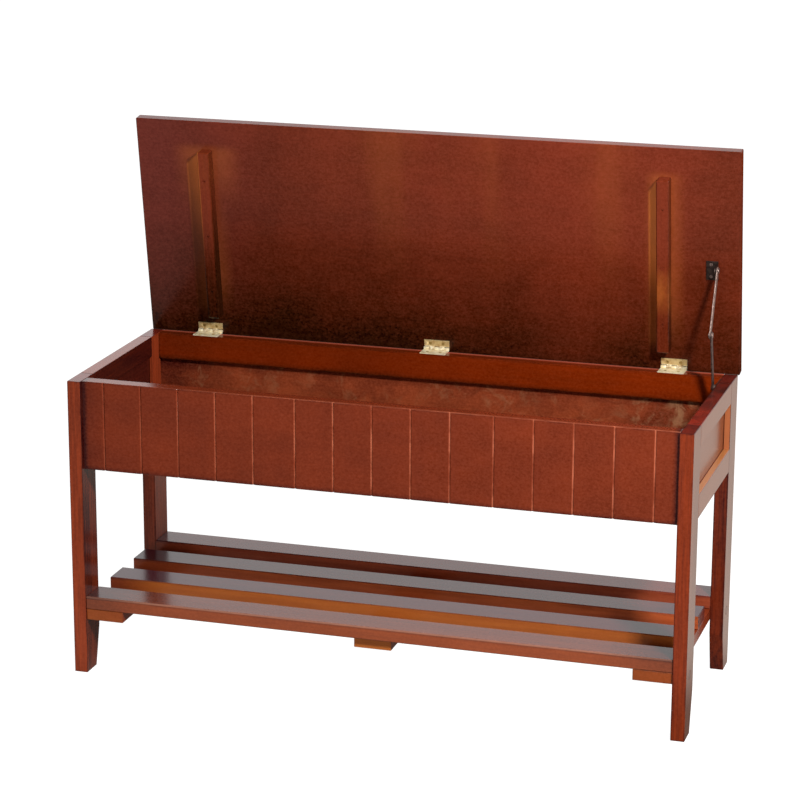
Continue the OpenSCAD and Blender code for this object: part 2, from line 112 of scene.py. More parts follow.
def ease(tree, value, low, high, start=0.0, end=1.0):
    """From start to end, smoothly, while value goes from low to high."""
    n = tree.nodes.new("ShaderNodeMapRange")
    n.interpolation_type = "SMOOTHSTEP"
    for v, socket in zip((value, low, high, start, end), n.inputs):
        wire(tree, v, socket)
    return n.outputs[0]


def facing(tree, normal, axis, low=0.5, high=0.9, start=0.0, end=1.0):
    """From start to end as a face turns to look along an axis, or against it where low and high are below 0."""
    return ease(tree, split(tree, normal)[axis], low, high, start, end)


def around_zero(tree, value):
    """Moves a noise from around a half to around 0."""
    return calc(tree, "SUBTRACT", value, 0.5)


def opposite(tree, mask):
    return calc(tree, "SUBTRACT", 1.0, mask)


def blend_colour(tree, amount, a, b, clamp=True):
    n = tree.nodes.new("ShaderNodeMix")
    n.data_type = "RGBA"
    n.clamp_factor = clamp
    wire(tree, amount, n.inputs[0])
    wire(tree, a, n.inputs[6])
    wire(tree, b, n.inputs[7])
    return n.outputs[2]


def noise(tree, place, per_metre, seed, detail, rough):
    """Noise with so many cells to the metre along each axis of the piece."""
    n = tree.nodes.new("ShaderNodeTexNoise")
    n.noise_dimensions = "4D"
    wire(tree, vector_calc(tree, "MULTIPLY", place, per_metre), n.inputs["Vector"])
    wire(tree, seed, n.inputs["W"])
    n.inputs["Scale"].default_value = 1.0
    n.inputs["Detail"].default_value = detail
    n.inputs["Roughness"].default_value = rough
    return n.outputs[0]


def new_group(name, inputs, outputs):
    group = bpy.data.node_groups.new(name, "ShaderNodeTree")
    for label, kind, value in inputs:
        socket = group.interface.new_socket(name=label, in_out="INPUT", socket_type="NodeSocket" + kind)
        socket.default_value = value
    for label, kind in outputs:
        group.interface.new_socket(name=label, in_out="OUTPUT", socket_type="NodeSocket" + kind)
    start = group.nodes.new("NodeGroupInput")
    end = group.nodes.new("NodeGroupOutput")
    return group, start.outputs, end.inputs


def use_group(tree, group, **values):
    n = tree.nodes.new("ShaderNodeGroup")
    n.node_tree = group
    for label, value in values.items():
        wire(tree, value, n.inputs[label.replace("_", " ").capitalize()])
    return n.outputs


def bump(tree, height, distance):
    n = tree.nodes.new("ShaderNodeBump")
    n.inputs["Distance"].default_value = distance
    wire(tree, height, n.inputs["Height"])
    return n.outputs[0]


# Wood under a sprayed stain and clear lacquer. Place has its X along the grain. Depth runs from the plain stain to
# its deepest tone, and Thin to the tone of the places that the spray hardly reached. On some pieces Depth also
# carries painted shade, and Thin painted light, highlights and reflections
wood, i, o = new_group(
    "stained wood",
    [
        ("Place", "Vector", (0, 0, 0)),
        ("Seed", "Float", 0.0),
        ("Stain", "Color", (0.2, 0.05, 0.02, 1)),
        ("Deep", "Color", (0.1, 0.02, 0.01, 1)),
        ("Depth", "Float", 0.0),
        ("Pale", "Color", (0.4, 0.15, 0.04, 1)),
        ("Thin", "Float", 0.0),
        ("Grain", "Float", 0.5),
        ("Mottle", "Float", 0.3),
    ],
    [("Colour", "Color"), ("Roughness", "Float"), ("Normal", "Vector")],
)
t = wood
fibre = noise(t, i["Place"], (14, 320, 320), i["Seed"], 5, 0.62)
band = noise(t, i["Place"], (2.4, 36, 36), i["Seed"], 2, 0.5)
pores = ease(t, noise(t, i["Place"], (120, 1500, 1500), i["Seed"], 1, 0.5), 0.60, 0.74)
cloud = noise(t, i["Place"], (17, 24, 24), i["Seed"], 3, 0.55)
speck = noise(t, i["Place"], (260, 310, 310), i["Seed"], 3, 0.7)
lines = add_up(t, (fibre, 0.6), (band, 0.4))
streak = times(t, ease(t, lines, 0.62, 0.36), i["Grain"], 0.6)
speckled = times(t, around_zero(t, speck), i["Mottle"])
depth = add_up(t, i["Depth"], streak, (times(t, pores, i["Grain"]), 0.25), (speckled, -2.2))
even = blend_colour(t, calc(t, "MINIMUM", depth, 1.06), i["Stain"], i["Deep"], clamp=False)
dappled = calc(t, "ADD", 1.0, times(t, around_zero(t, cloud), i["Mottle"], 1.3))
dust = scale_by(t, (0.38, 0.13, 0.08), speckled)
toned = blend_colour(t, i["Thin"], even, i["Pale"])
colour = vector_calc(t, "ADD", scale_by(t, toned, dappled), dust)
t.links.new(vector_calc(t, "MAXIMUM", colour, (0.002, 0.001, 0.0005)), o["Colour"])
t.links.new(add_up(t, 0.3, (cloud, 0.16)), o["Roughness"])
t.links.new(bump(t, add_up(t, (fibre, 0.5), (pores, -0.6)), 0.00005), o["Normal"])

# Where the stain gathers along the edges of a block of the given half size: 1 on an edge, 0 at the width from it
arris, i, o = new_group(
    "stained edge",
    [
        ("Place", "Vector", (0, 0, 0)),
        ("Half size", "Vector", (0.1, 0.1, 0.1)),
        ("Width", "Float", 0.002),
        ("Seed", "Float", 0.0),
    ],
    [("Mask", "Float")],
)
t = arris
x, y, z = split(t, vector_calc(t, "SUBTRACT", i["Half size"], vector_calc(t, "ABSOLUTE", i["Place"])))
near = calc(t, "MAXIMUM", calc(t, "MINIMUM", x, y), calc(t, "MINIMUM", calc(t, "MAXIMUM", x, y), z))
patchy = ease(t, noise(t, i["Place"], (30, 90, 90), i["Seed"], 3, 0.6), 0.38, 0.62, 0.25, 1.0)
t.links.new(calc(t, "MULTIPLY", ease(t, near, i["Width"], 0.0), patchy), o["Mask"])

# Fine scratches and clouding on metal
worn_metal, i, o = new_group(
    "handled metal",
    [
        ("Place", "Vector", (0, 0, 0)),
        ("Seed", "Float", 0.0),
        ("Bright", "Color", (0.8, 0.8, 0.8, 1)),
        ("Dull", "Color", (0.5, 0.5, 0.5, 1)),
        ("Polish", "Float", 0.3),
    ],
    [("Colour", "Color"), ("Roughness", "Float"), ("Normal", "Vector")],
)
t = worn_metal
cloud = noise(t, i["Place"], (160, 160, 160), i["Seed"], 4, 0.6)
brushed = noise(t, i["Place"], (90, 2600, 2600), i["Seed"], 2, 0.6)
dulled = ease(t, cloud, 0.38, 0.66)
t.links.new(blend_colour(t, dulled, i["Bright"], i["Dull"]), o["Colour"])
rough = calc(t, "ADD", i["Polish"], calc(t, "MULTIPLY", dulled, 0.14))
t.links.new(calc(t, "ADD", rough, calc(t, "MULTIPLY", brushed, 0.08), clamp=True), o["Roughness"])
t.links.new(bump(t, brushed, 0.00002), o["Normal"])


# How the grain of a piece is turned, from the bench's frame

LID_TURN = Matrix.Rotation(-LID_OPEN, 3, "X")
GRAIN = {
    "along": Matrix.Identity(3),
    "upright": Matrix.Rotation(-pi / 2, 3, "Y"),
    "crosswise": Matrix.Rotation(pi / 2, 3, "Z"),
    "lid": LID_TURN,
    "lid crosswise": LID_TURN @ Matrix.Rotation(pi / 2, 3, "Z"),
}


def block_of(piece, turn):
    """Middle and half size of a piece's own block, measured along its grain."""
    back = turn.transposed()
    spots = [back @ v.co for v in piece.data.vertices]
    low = Vector([min(s[k] for s in spots) for k in range(3)])
    high = Vector([max(s[k] for s in spots) for k in range(3)])
    return turn @ ((low + high) / 2), (high - low) / 2


# The half sizes of the lid and of a batten, and where the right batten lies from the middle of the lid
lid_middle, LID = block_of(nodes["lid_board"], LID_TURN)
batten_middle, BATTEN = block_of(nodes["lid_batten_right"], LID_TURN)
BATTEN_X, BATTEN_Y = (LID_TURN.transposed() @ (batten_middle - lid_middle)).xy
BATTEN_TOP, BATTEN_FOOT = BATTEN_Y - BATTEN.y, BATTEN_Y + BATTEN.y


# The cross recesses of the screws, cut into copies of the CAD's screws

SMALL_HEAD, LARGE_HEAD = 0.00494, 0.007
# A recess in shares of the head's diameter: the width and length of an arm, its depth, and how far the cutter stands
# out above the head
ARM_WIDTH, ARM_LENGTH, DEEP_END, STAND_OUT = 0.15, 0.23, 0.24, 0.06
ARM_TAPER = 0.5
FIRST_TURN, NEXT_TURN = 0.5, 1.3
# No two corners of a screw are equally far from here
ODD_SPOT = (-1.37, -0.83, 2.11)
# The pieces that carry the looks: the CAD nodes, or what stands in for them
pieces = dict(nodes)


def select_only(piece):
    bpy.ops.object.select_all(action="DESELECT")
    piece.select_set(True)
    bpy.context.view_layer.objects.active = piece


def pick(piece, wanted, kind="faces"):
    """Selects just the wanted faces or vertices, and leaves the piece in edit mode."""
    bpy.ops.object.mode_set(mode="EDIT")
    bpy.ops.mesh.select_mode(type="FACE" if kind == "faces" else "VERT")
    bpy.ops.mesh.select_all(action="DESELECT")
    bpy.ops.object.mode_set(mode="OBJECT")
    for part in piece.data.polygons if kind == "faces" else piece.data.vertices:
        part.select = wanted(part)
    bpy.ops.object.mode_set(mode="EDIT")


def cross_cutter(head):
    """A tapered cross for a screw head of the given diameter, its mouth upward and just above the origin."""
    width, height = head * ARM_WIDTH, head * (DEEP_END + STAND_OUT)
    bpy.ops.object.select_all(action="DESELECT")
    bpy.ops.mesh.primitive_cube_add(size=1)
    cutter = bpy.context.object
    cutter.name = "cross cutter"
    bpy.ops.object.mode_set(mode="EDIT")
    bpy.ops.mesh.select_all(action="SELECT")
    bpy.ops.transform.resize(value=(width, width, height))
    bpy.ops.transform.translate(value=(0, 0, head * (STAND_OUT - DEEP_END) / 2))
    for way in ((1, 0, 0), (-1, 0, 0), (0, 1, 0), (0, -1, 0)):
        # The sides of the arms made before look the same way, but lie farther out
        pick(cutter, lambda face: face.normal.dot(way) > 0.9 and face.center.xy.length < width * 0.55)
        bpy.ops.mesh.extrude_region_move(TRANSFORM_OT_translate={"value": Vector(way) * head * ARM_LENGTH})
    pick(cutter, lambda corner: corner.co.z < 0, "vertices")
    bpy.ops.transform.resize(value=(ARM_TAPER, ARM_TAPER, 1))
    bpy.ops.object.mode_set(mode="OBJECT")
    return cutter


def loose_parts(mesh):
    """The places of the vertices of each separate body in a mesh."""
    next_one = list(range(len(mesh.vertices)))

    def last(k):
        while next_one[k] != k:
            k = next_one[k]
        return k

    for edge in mesh.edges:
        a, b = edge.vertices
        next_one[last(a)] = last(b)
    bodies = {}
    for v in mesh.vertices:
        bodies.setdefault(last(v.index), []).append(v.co.copy())
    return list(bodies.values())


def cut_crosses(node, body, turn, head, up=-1):
    """A copy of a node of like screws, with a cross recess in every head. up is -1 where the heads look down."""
    select_only(nodes[node])
    bpy.ops.object.duplicate()
    piece = bpy.context.object
    piece.name = node + "_crossed"
    bpy.ops.object.mode_set(mode="EDIT")
    bpy.ops.mesh.select_all(action="SELECT")
    bpy.ops.mesh.remove_doubles(threshold=SAME_PLACE)
    bpy.ops.mesh.normals_make_consistent(inside=False)
    bpy.ops.object.mode_set(mode="OBJECT")
    cutter = cross_cutter(head)
    upright = Matrix.Identity(3) if up > 0 else Matrix.Rotation(pi, 3, "X")
    cutters = []
    for k, body_points in enumerate(loose_parts(piece.data)):
        spots = [turn.transposed() @ spot for spot in body_points]
        x, y = ((min(s[a] for s in spots) + max(s[a] for s in spots)) / 2 for a in (X, Y))
        z = up * max(up * s.z for s in spots)
        select_only(cutter)
        bpy.ops.object.duplicate()
        copy = bpy.context.object
        angle = Matrix.Rotation(FIRST_TURN + NEXT_TURN * k, 3, "Z")
        copy.matrix_world = Matrix.Translation(turn @ Vector((x, y, z))) @ (turn @ upright @ angle).to_4x4()
        cutters.append(copy)
    bpy.data.objects.remove(cutter)
    bpy.ops.object.select_all(action="DESELECT")
    for copy in cutters:
        copy.select_set(True)
    bpy.context.view_layer.objects.active = cutters[0]
    if len(cutters) > 1:
        bpy.ops.object.join()
    all_cutters = bpy.context.object
    select_only(piece)
    bpy.ops.object.modifier_add(type="BOOLEAN")
    cut = piece.modifiers[-1]
    cut.operation = "DIFFERENCE"
    cut.solver = "EXACT"
    cut.object = all_cutters
    bpy.ops.object.modifier_apply(modifier=cut.name)
    bpy.data.objects.remove(all_cutters)
    # The cut leaves vertices and faces in another order on each run, so they are put in one order here
    cursor = bpy.context.scene.cursor
    cursor.location = ODD_SPOT
    bpy.ops.object.mode_set(mode="EDIT")
    bpy.ops.mesh.select_all(action="SELECT")
    bpy.ops.mesh.sort_elements(type="CURSOR_DISTANCE", elements={"VERT", "EDGE", "FACE"})
    bpy.ops.object.mode_set(mode="OBJECT")
    cursor.location = (0, 0, 0)
    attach(piece, body)
    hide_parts(node)
    pieces[node] = piece


cut_crosses("hinge_frame_screws", "bench", GRAIN["along"], SMALL_HEAD, 1)
cut_crosses("hinge_lid_screws", "lid", LID_TURN, SMALL_HEAD)
cut_crosses("stay_lid_screws", "lid", LID_TURN, SMALL_HEAD)
cut_crosses("batten_screws", "lid", LID_TURN, LARGE_HEAD)
cut_crosses("slat_screws", "bench", GRAIN["along"], LARGE_HEAD)


# Materials


def new_material(name):
    m = bpy.data.materials.new(name)
    m.use_nodes = True
    return m, m.node_tree, m.node_tree.nodes["Principled BSDF"]


def place_on(tree, middle, turn):
    """The piece's own coordinates: from its middle, turned to its grain, in metres."""
    coordinates = tree.nodes.new("ShaderNodeTexCoord")
    mapping = tree.nodes.new("ShaderNodeMapping")
    mapping.vector_type = "TEXTURE"
    mapping.inputs["Location"].default_value = middle
    mapping.inputs["Rotation"].default_value = turn.to_euler()
    tree.links.new(coordinates.outputs["Object"], mapping.inputs["Vector"])
    return mapping.outputs[0], coordinates.outputs["Object"], coordinates.outputs["Normal"]


def soften(piece, width):
    """Takes the sharpness off a CAD node's edges, whose mesh stays as it is."""
    weld = piece.modifiers.new("weld", "WELD")
    weld.merge_threshold = SAME_PLACE
    flat = piece.modifiers.new("flat faces", "DECIMATE")
    flat.decimate_type = "DISSOLVE"
    flat.angle_limit = radians(0.5)
    edge = piece.modifiers.new("eased edges", "BEVEL")
    edge.width = width
    edge.segments = 2
    edge.limit_method = "ANGLE"
    edge.angle_limit = radians(50)
    edge.use_clamp_overlap = False


def connect(tree, made, shader):
    for output, socket in (("Colour", "Base Color"), ("Roughness", "Roughness"), ("Normal", "Normal")):
        tree.links.new(made[output], shader.inputs[socket])


def give(piece, material):
    piece.data.materials.clear()
    piece.data.materials.append(material)


# Tones of the stain, of the places that it hardly reached, and of the woods that have none. The deepest tones also
# serve for painted shade, and some pale tones for painted light, highlights and reflections
RED_BROWN = linear(122, 46, 26)
PANEL_RED = linear(121, 46, 22)
BATTEN_BROWN = linear(122, 46, 24)
LEG_RED = linear(141, 53, 22)
SHELF_RED = linear(134, 54, 26)
RAIL_RED = linear(122, 38, 4)
CRIMSON = linear(124, 34, 19)
# The deepest tones: where the stain pooled at edges, and where masks paint shade
POOLED_AND_SHADED = linear(64, 20, 14)
LID_POOLED_AND_SHADED = linear(50, 18, 4)
SLAT_POOLED_AND_SHADED = linear(66, 22, 28)
ORANGE = linear(176, 96, 40)
# The pink of the grooves, and a painted highlight on the panel's top edge
GROOVE_AND_HIGHLIGHT_PINK = linear(190, 108, 78)
# Pale slat front, and a painted highlight on its upper front arris
SLAT_PALE_AND_HIGHLIGHT = linear(222, 160, 134)
RUST = linear(150, 66, 28)
PLY_BROWN = linear(140, 64, 36)
PLY_PALE = linear(152, 108, 76)
PLY_DARK = linear(92, 40, 24)
BARE = linear(196, 152, 98)
WALL_ORANGE = linear(170, 98, 60)
# Painted reflection on the outside faces of the right end
PAINTED_SHEEN = linear(122, 67, 44)
LEG_LEFT = linear(153, 62, 31)
LID_PURPLE = linear(112, 46, 36)
# Pale of the unsprayed halo by the battens, and painted light where their shadows fall
LID_PALE_AND_LIGHT = linear(220, 120, 56)
LOWER_WALL = linear(170, 108, 62)
# Painted highlight on top of the rear rail
RAIL_HIGHLIGHT = linear(176, 84, 62)
MID_REAR_PALE = linear(182, 88, 46)
REAR_PALE = linear(160, 76, 48)
PLUG_BROWN = linear(84, 40, 24)


def stained(
    node, grain, stain, seed, depth=None, deep=POOLED_AND_SHADED, thin=None, pale=ORANGE, figure=0.35, mottle=0.2, edge=0.45,
    bevel=0.0008, matt=None,
):
    """Dresses one wooden node. depth and thin, if given, build masks of a deeper and of a thinner stain, which on some
    pieces also carry painted shade and painted light, and matt one of the wood without lacquer. stain may be built the
    same way."""
    piece = pieces[node]
    turn = GRAIN[grain]
    middle, half = block_of(piece, turn)
    m, tree, shader = new_material(node.replace("_", " ") + " wood")
    at = place_on(tree, middle, turn)
    edges = use_group(tree, arris, place=at[0], half_size=tuple(half), width=0.0032, seed=seed)["Mask"]
    made = use_group(
        tree,
        wood,
        place=at[0],
        seed=seed,
        stain=stain(tree, *at) if callable(stain) else stain,
        deep=deep,
        depth=add_up(tree, (edges, edge), depth(tree, *at) if depth else 0.0),
        pale=pale,
        thin=thin(tree, *at) if thin else 0.0,
        grain=figure,
        mottle=mottle,
    )
    connect(tree, made, shader)
    shader.inputs["Specular IOR Level"].default_value = 0.0
    shader.inputs["Coat Weight"].default_value = 1.0
    shader.inputs["Coat IOR"].default_value = 1.3
    shader.inputs["Coat Roughness"].default_value = 0.2
    if matt:
        tree.links.new(opposite(tree, matt(tree, *at)), shader.inputs["Coat Weight"])
    give(piece, m)
    if bevel:
        soften(piece, bevel)


# Masks and tones. Place is measured from the middle of a piece and turned to its grain. Position and normal are the
# bench's own


def half_height(node):
    low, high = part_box(node)
    return (high.z - low.z) / 2


FRONT, RIGHT_SIDE = (0, -1, 0), (1, 0, 0)
# From the middle of the bench to the inner sides of its legs
TO_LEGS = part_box("front_panel")[1].x
PANEL_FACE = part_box("front_panel")[0].y
PANEL_BOTTOM = -half_height("front_panel")
SLAT_TOP = half_height("shelf_slat_front")
REAR_RAIL_LOW, REAR_RAIL_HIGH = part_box("rear_top_rail")
end_rail_low, end_rail_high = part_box("end_top_rail_right")
# The recess of the right end, a little more than its real size, and the face of the panel in it
RECESS_LOW, RECESS_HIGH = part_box("end_bottom_rail_right")[1].z - 0.002, end_rail_low.z + 0.0015
RECESS_MIDDLE = (end_rail_low.y + end_rail_high.y) / 2
RECESS_HALF = (end_rail_high.y - end_rail_low.y) / 2 + 0.0005
RECESS_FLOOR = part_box("end_panel_right")[1].x - 0.001


def panel_stain_and_shade(tree, place, position, normal):
    """Painted shade where the panel meets the legs, toward its left end and along its bottom edge, over uneven passes
    of the stain.
    """
    x, _, z = split(tree, place)
    left = ease(tree, x, -0.385, -0.427)
    corner = ease(tree, calc(tree, "ABSOLUTE", x), TO_LEGS - 0.011, TO_LEGS - 0.0005)
    bottom = ease(tree, z, PANEL_BOTTOM + 0.008, PANEL_BOTTOM + 0.0015)
    wide = around_zero(tree, noise(tree, place, (7, 5, 18), 2.0, 3, 0.55))
    passes = around_zero(tree, noise(tree, place, (38, 5, 2.5), 6.0, 2, 0.5))
    return add_up(tree, 0.06, (left, 0.25), (corner, 0.9), (bottom, 0.4), (wide, 0.7), (passes, 0.3))


def grooves_and_top_highlight(tree, place, position, normal):
    """The stain is thin and broken inside the V-grooves, less so toward the left; the front of the top edge gets a
    painted highlight.
    """
    x, y, _ = split(tree, position)
    behind = calc(tree, "SUBTRACT", y, PANEL_FACE)
    inside = ease(tree, behind, 0.0002, 0.0009)
    front_only = calc(tree, "LESS_THAN", behind, 0.003)
    broken = ease(tree, noise(tree, position, (15, 9, 30), 4.0, 4, 0.65), 0.36, 0.64, 0.15, 1.0)
    lines = times(tree, inside, front_only, broken, ease(tree, x, -0.44, 0.0, 0.16, 0.7))
    top = times(tree, facing(tree, normal, Z, 0.3, 0.7), ease(tree, behind, 0.007, 0.004))
    return calc(tree, "MAXIMUM", lines, times(tree, top, ease(tree, x, -0.3, 0.1, 0.1, 0.2)))


def front_faces(middle_amount, end_amount, streaky):
    """The front faces of the shelf are paler, partly where the spray reached less and partly painted light against the
    shade under the box, and their left ends by an amount of their own.
    """

    def mask(tree, place, position, normal):
        along = ease(tree, split(tree, position)[X], -TO_LEGS, -0.33, end_amount, middle_amount)
        patches = ease(tree, noise(tree, position, (7, 40, 120), 9.0, 3, 0.6), 0.36, 0.64, 1.0 - streaky, 1.0)
        return times(tree, facing(tree, normal, Y, -0.5, -0.9), along, patches)

    return mask


def pale_face_and_arris_highlight(amount, rest):
    """A slat's front face took less stain, and its upper front arris carries a painted highlight."""

    def mask(tree, place, position, normal):
        x, _, z = split(tree, place)
        ends = ease(tree, calc(tree, "ABSOLUTE", x), TO_LEGS, 0.3, 0.5, 1.0)
        line = times(tree, ease(tree, z, SLAT_TOP - 0.0027, SLAT_TOP - 0.0017), ends)
        amounts = add_up(tree, (line, amount), (opposite(tree, line), rest))
        return times(tree, facing(tree, normal, Y, -0.4, -0.8), amounts)

    return mask


def slat_shade_and_light(top, front, end):
    """Painted shade on top of a slat, under its front arris and at its ends by the legs, and painted light on its front
    face where front is below 0.
    """

    def mask(tree, place, position, normal):
        x, _, z = split(tree, place)
        ahead = facing(tree, normal, Y, -0.3, -0.8)
        arris_line = ease(tree, z, SLAT_TOP - 0.0055, SLAT_TOP - 0.001)
        ends = ease(tree, calc(tree, "ABSOLUTE", x), 0.3, TO_LEGS)
        upper = facing(tree, normal, Z, start=0.15, end=top)
        return add_up(tree, upper, (times(tree, ahead, arris_line), 0.6), (ahead, front), (ends, end))

    return mask


def recess_walls(tree, place, position, normal):
    """The walls round a sunk panel took less stain."""
    x, y, z = split(tree, position)
    sideways = ease(tree, calc(tree, "ABSOLUTE", split(tree, normal)[X]), 0.5, 0.2)
    along = calc(tree, "ABSOLUTE", calc(tree, "SUBTRACT", y, RECESS_MIDDLE))
    return times(
        tree,
        sideways,
        calc(tree, "LESS_THAN", along, RECESS_HALF),
        calc(tree, "GREATER_THAN", calc(tree, "ABSOLUTE", x), RECESS_FLOOR),
        calc(tree, "GREATER_THAN", z, RECESS_LOW),
        calc(tree, "LESS_THAN", z, RECESS_HIGH),
    )


def facing_depth(away, amount, rest=0.0, top=0.0, marks=()):
    """Darker on the faces that look along the given direction, on top, and in the marks of nails."""

    def mask(tree, place, position, normal):
        along = vector_calc(tree, "DOT_PRODUCT", normal, away)
        total = add_up(tree, rest, (ease(tree, along, 0.5, 0.9), amount), (facing(tree, normal, Z), top))
        for spot, size in marks:
            far = vector_calc(tree, "DISTANCE", position, spot)
            total = add_up(tree, total, (ease(tree, far, size, size * 0.4), 0.8))
        return total

    return mask


def end_top_depth(tree, place, position, normal):
    """The top of the right end is blotchy, and darker toward the back."""
    blotches = ease(tree, noise(tree, place, (26, 40, 40), 3.0, 3, 0.6), 0.35, 0.65, -0.25, 0.35)
    back = ease(tree, split(tree, position)[Y], -0.1, 0.08, 0.0, 0.7)
    return times(tree, facing(tree, normal, Z), add_up(tree, blotches, back))


def lid_depth_and_shade(tree, place, position, normal):
    """Inside, the lid is darkest toward the hinges and its left end: painted shade, over uneven passes of the stain.
    Place has its Y toward the hinges.
    """
    x, y, z = split(tree, place)
    left = ease(tree, x, 0.4, -0.42)
    down = calc(tree, "POWER", add_up(tree, 0.5, (y, 0.5 / LID.y)), 2.0)
    right_end = ease(tree, x, 0.33, 0.43)
    passes = noise(tree, place, (7.5, 0.8, 0.8), 7.0, 2, 0.5)
    clouds = noise(tree, place, (11, 9, 9), 5.0, 3, 0.6)
    made = add_up(
        tree,
        0.10,
        (left, 0.15),
        (ease(tree, x, -0.33, -0.42), -0.13),
        times(tree, add_up(tree, 0.72, (left, 0.2)), down),
        (times(tree, right_end, opposite(tree, down)), 0.3),
        (around_zero(tree, passes), 0.5),
        (around_zero(tree, clouds), 0.55),
    )
    return times(tree, made, calc(tree, "LESS_THAN", z, LID.z - 0.0005))


def lid_stain(tree, place, position, normal):
    """The left end of the lid leans toward purple."""
    return blend_colour(tree, ease(tree, split(tree, place)[X], -0.2, -0.44), RED_BROWN, LID_PURPLE)


def lid_end(tree, place, position, normal):
    """The right end of the lid has no lacquer."""
    return facing(tree, normal, X)


def painted_light_strip(tree, x, y, batten, width, slope, fade, amount):
    """Painted light on the strip left of a batten, where the batten's shadow falls, with a slanting top along the
    shadow's edge.
    """
    off = calc(tree, "SUBTRACT", batten - BATTEN.x, x)
    top = calc(tree, "SUBTRACT", y, times(tree, off, slope))
    return times(
        tree,
        ease(tree, off, width + 0.0012, width - 0.0024),
        ease(tree, off, width - fade, width, 1.0, 0.5),
        calc(tree, "GREATER_THAN", off, 0.0),
        ease(tree, top, BATTEN_TOP - 0.001, BATTEN_TOP + 0.006),
        ease(tree, y, BATTEN_FOOT + 0.01, BATTEN_FOOT - 0.02),
        amount,
    )


def batten_halo_and_lit_strips(tree, place, position, normal):
    """The spray didn't reach the lid right beside its battens, least of all on their left. Left of each batten, where
    the batten's shadow falls, a strip is painted paler: painted light that evens out the shadow.
    """
    x, y, z = split(tree, place)
    above = ease(tree, y, BATTEN_TOP - 0.012, BATTEN_TOP + 0.006)
    aside = calc(tree, "ABSOLUTE", calc(tree, "SUBTRACT", calc(tree, "ABSOLUTE", x), BATTEN_X))
    near = times(tree, ease(tree, aside, 0.034, 0.008), ease(tree, y, 0.15, 0.06), above)
    wavy = ease(tree, noise(tree, place, (16, 7, 7), 2.0, 3, 0.5), 0.3, 0.7, 0.3, 0.75)
    halo = times(tree, near, wavy, ease(tree, x, -0.1, 0.1, 0.16, 0.26))
    beyond = add_up(tree, calc(tree, "ABSOLUTE", add_up(tree, x, BATTEN_X)), -BATTEN.x)
    glow = times(tree, ease(tree, beyond, 0.05, 0.012), ease(tree, y, -0.02, -0.13), above, 0.16)
    passes = ease(tree, noise(tree, place, (9, 1.2, 1.2), 7.0, 3, 0.5), 0.45, 0.75, 0.0, 0.1)
    bands = times(tree, passes, ease(tree, y, 0.1, -0.1), ease(tree, x, -0.25, 0.0))
    soft = calc(tree, "MAXIMUM", calc(tree, "MAXIMUM", halo, glow), bands)
    # Painted light: the widths and slopes of these strips follow the battens' shadows from the key light
    right = painted_light_strip(tree, x, y, BATTEN_X, 0.0148, 1.455, 0.004, ease(tree, y, -0.03, 0.07, 0.95, 0.2))
    left = painted_light_strip(tree, x, y, -BATTEN_X, 0.0238, 0.873, 0.02, ease(tree, y, -0.12, 0.04, 0.78, 0.1))
    return times(tree, add_up(tree, soft, right, left), calc(tree, "LESS_THAN", z, 0.0))


def batten_depth_and_shade(tree, place, position, normal):
    """Darker on the right side of each batten, and painted shade toward the hinges, as on the lid."""
    toward_hinges = ease(tree, split(tree, place)[X], -0.07, 0.12)
    amount = ease(tree, split(tree, position)[X], 0.1, -0.1, 0.3, 0.9)
    return add_up(tree, (facing(tree, normal, X), 0.6), (toward_hinges, amount))


def batten_crest(amount, middle, line):
    """A part of a batten's face took less stain, and so did its left arris."""

    def mask(tree, place, position, normal):
        x, y, _ = split(tree, place)
        patches = ease(tree, noise(tree, place, (22, 60, 60), 3.0, 3, 0.6), 0.35, 0.6, 0.4, 1.0)
        face = ease(tree, calc(tree, "ABSOLUTE", add_up(tree, x, -middle)), 0.045, 0.0)
        edge = times(tree, ease(tree, y, BATTEN.x - 0.0028, BATTEN.x - 0.0014), ease(tree, x, 0.06, -0.1), line)
        return calc(tree, "MAXIMUM", times(tree, patches, face, amount), edge)

    return mask


def rail_top_highlight(tree, place, position, normal):
    """A painted highlight: a pale strip on top of the rail, along the lid."""
    strip = ease(tree, split(tree, position)[Y], REAR_RAIL_HIGH.y - 0.0089, REAR_RAIL_HIGH.y - 0.0049)
    return times(tree, facing(tree, normal, Z), strip)


def rail_depth_and_shade(tree, place, position, normal):
    """Darker toward the left end, and painted shade along the lower edge."""
    x, _, z = split(tree, position)
    passes = noise(tree, place, (5, 9, 9), 3.0, 3, 0.5)
    return add_up(
        tree,
        -0.05,
        (ease(tree, x, 0.34, 0.1), 0.2),
        (ease(tree, x, -0.2, -TO_LEGS), 0.15),
        (ease(tree, z, REAR_RAIL_LOW.z + 0.009, REAR_RAIL_LOW.z + 0.0005), 0.35),
        (around_zero(tree, passes), 0.8),
    )


def swirled(tree, place):
    """Place, pushed about so that a noise on it swirls."""
    n = tree.nodes.new("ShaderNodeTexNoise")
    wire(tree, place, n.inputs["Vector"])
    n.inputs["Scale"].default_value = 22.0
    push = scale_by(tree, vector_calc(tree, "SUBTRACT", n.outputs["Color"], (0.5, 0.5, 0.5)), 0.07)
    return vector_calc(tree, "ADD", place, push)


def ply_depth_and_shade(tree, place, position, normal):
    """Swirling smears on the inside of the thin back, painted shade under the rail, and darker toward the ends."""
    x, _, z = split(tree, position)
    swirl = noise(tree, swirled(tree, place), (16, 16, 30), 3.0, 3, 0.55)
    smeared = add_up(
        tree,
        -0.1,
        (ease(tree, swirl, 0.66, 0.34), 0.4),
        (ease(tree, z, REAR_RAIL_LOW.z - 0.019, REAR_RAIL_LOW.z - 0.003), 0.3),
        (ease(tree, x, -0.28, -0.42), 0.4),
        (ease(tree, x, 0.2, 0.36), 0.3),
    )
    return times(tree, smeared, facing(tree, normal, Y, 0.3, -0.3))


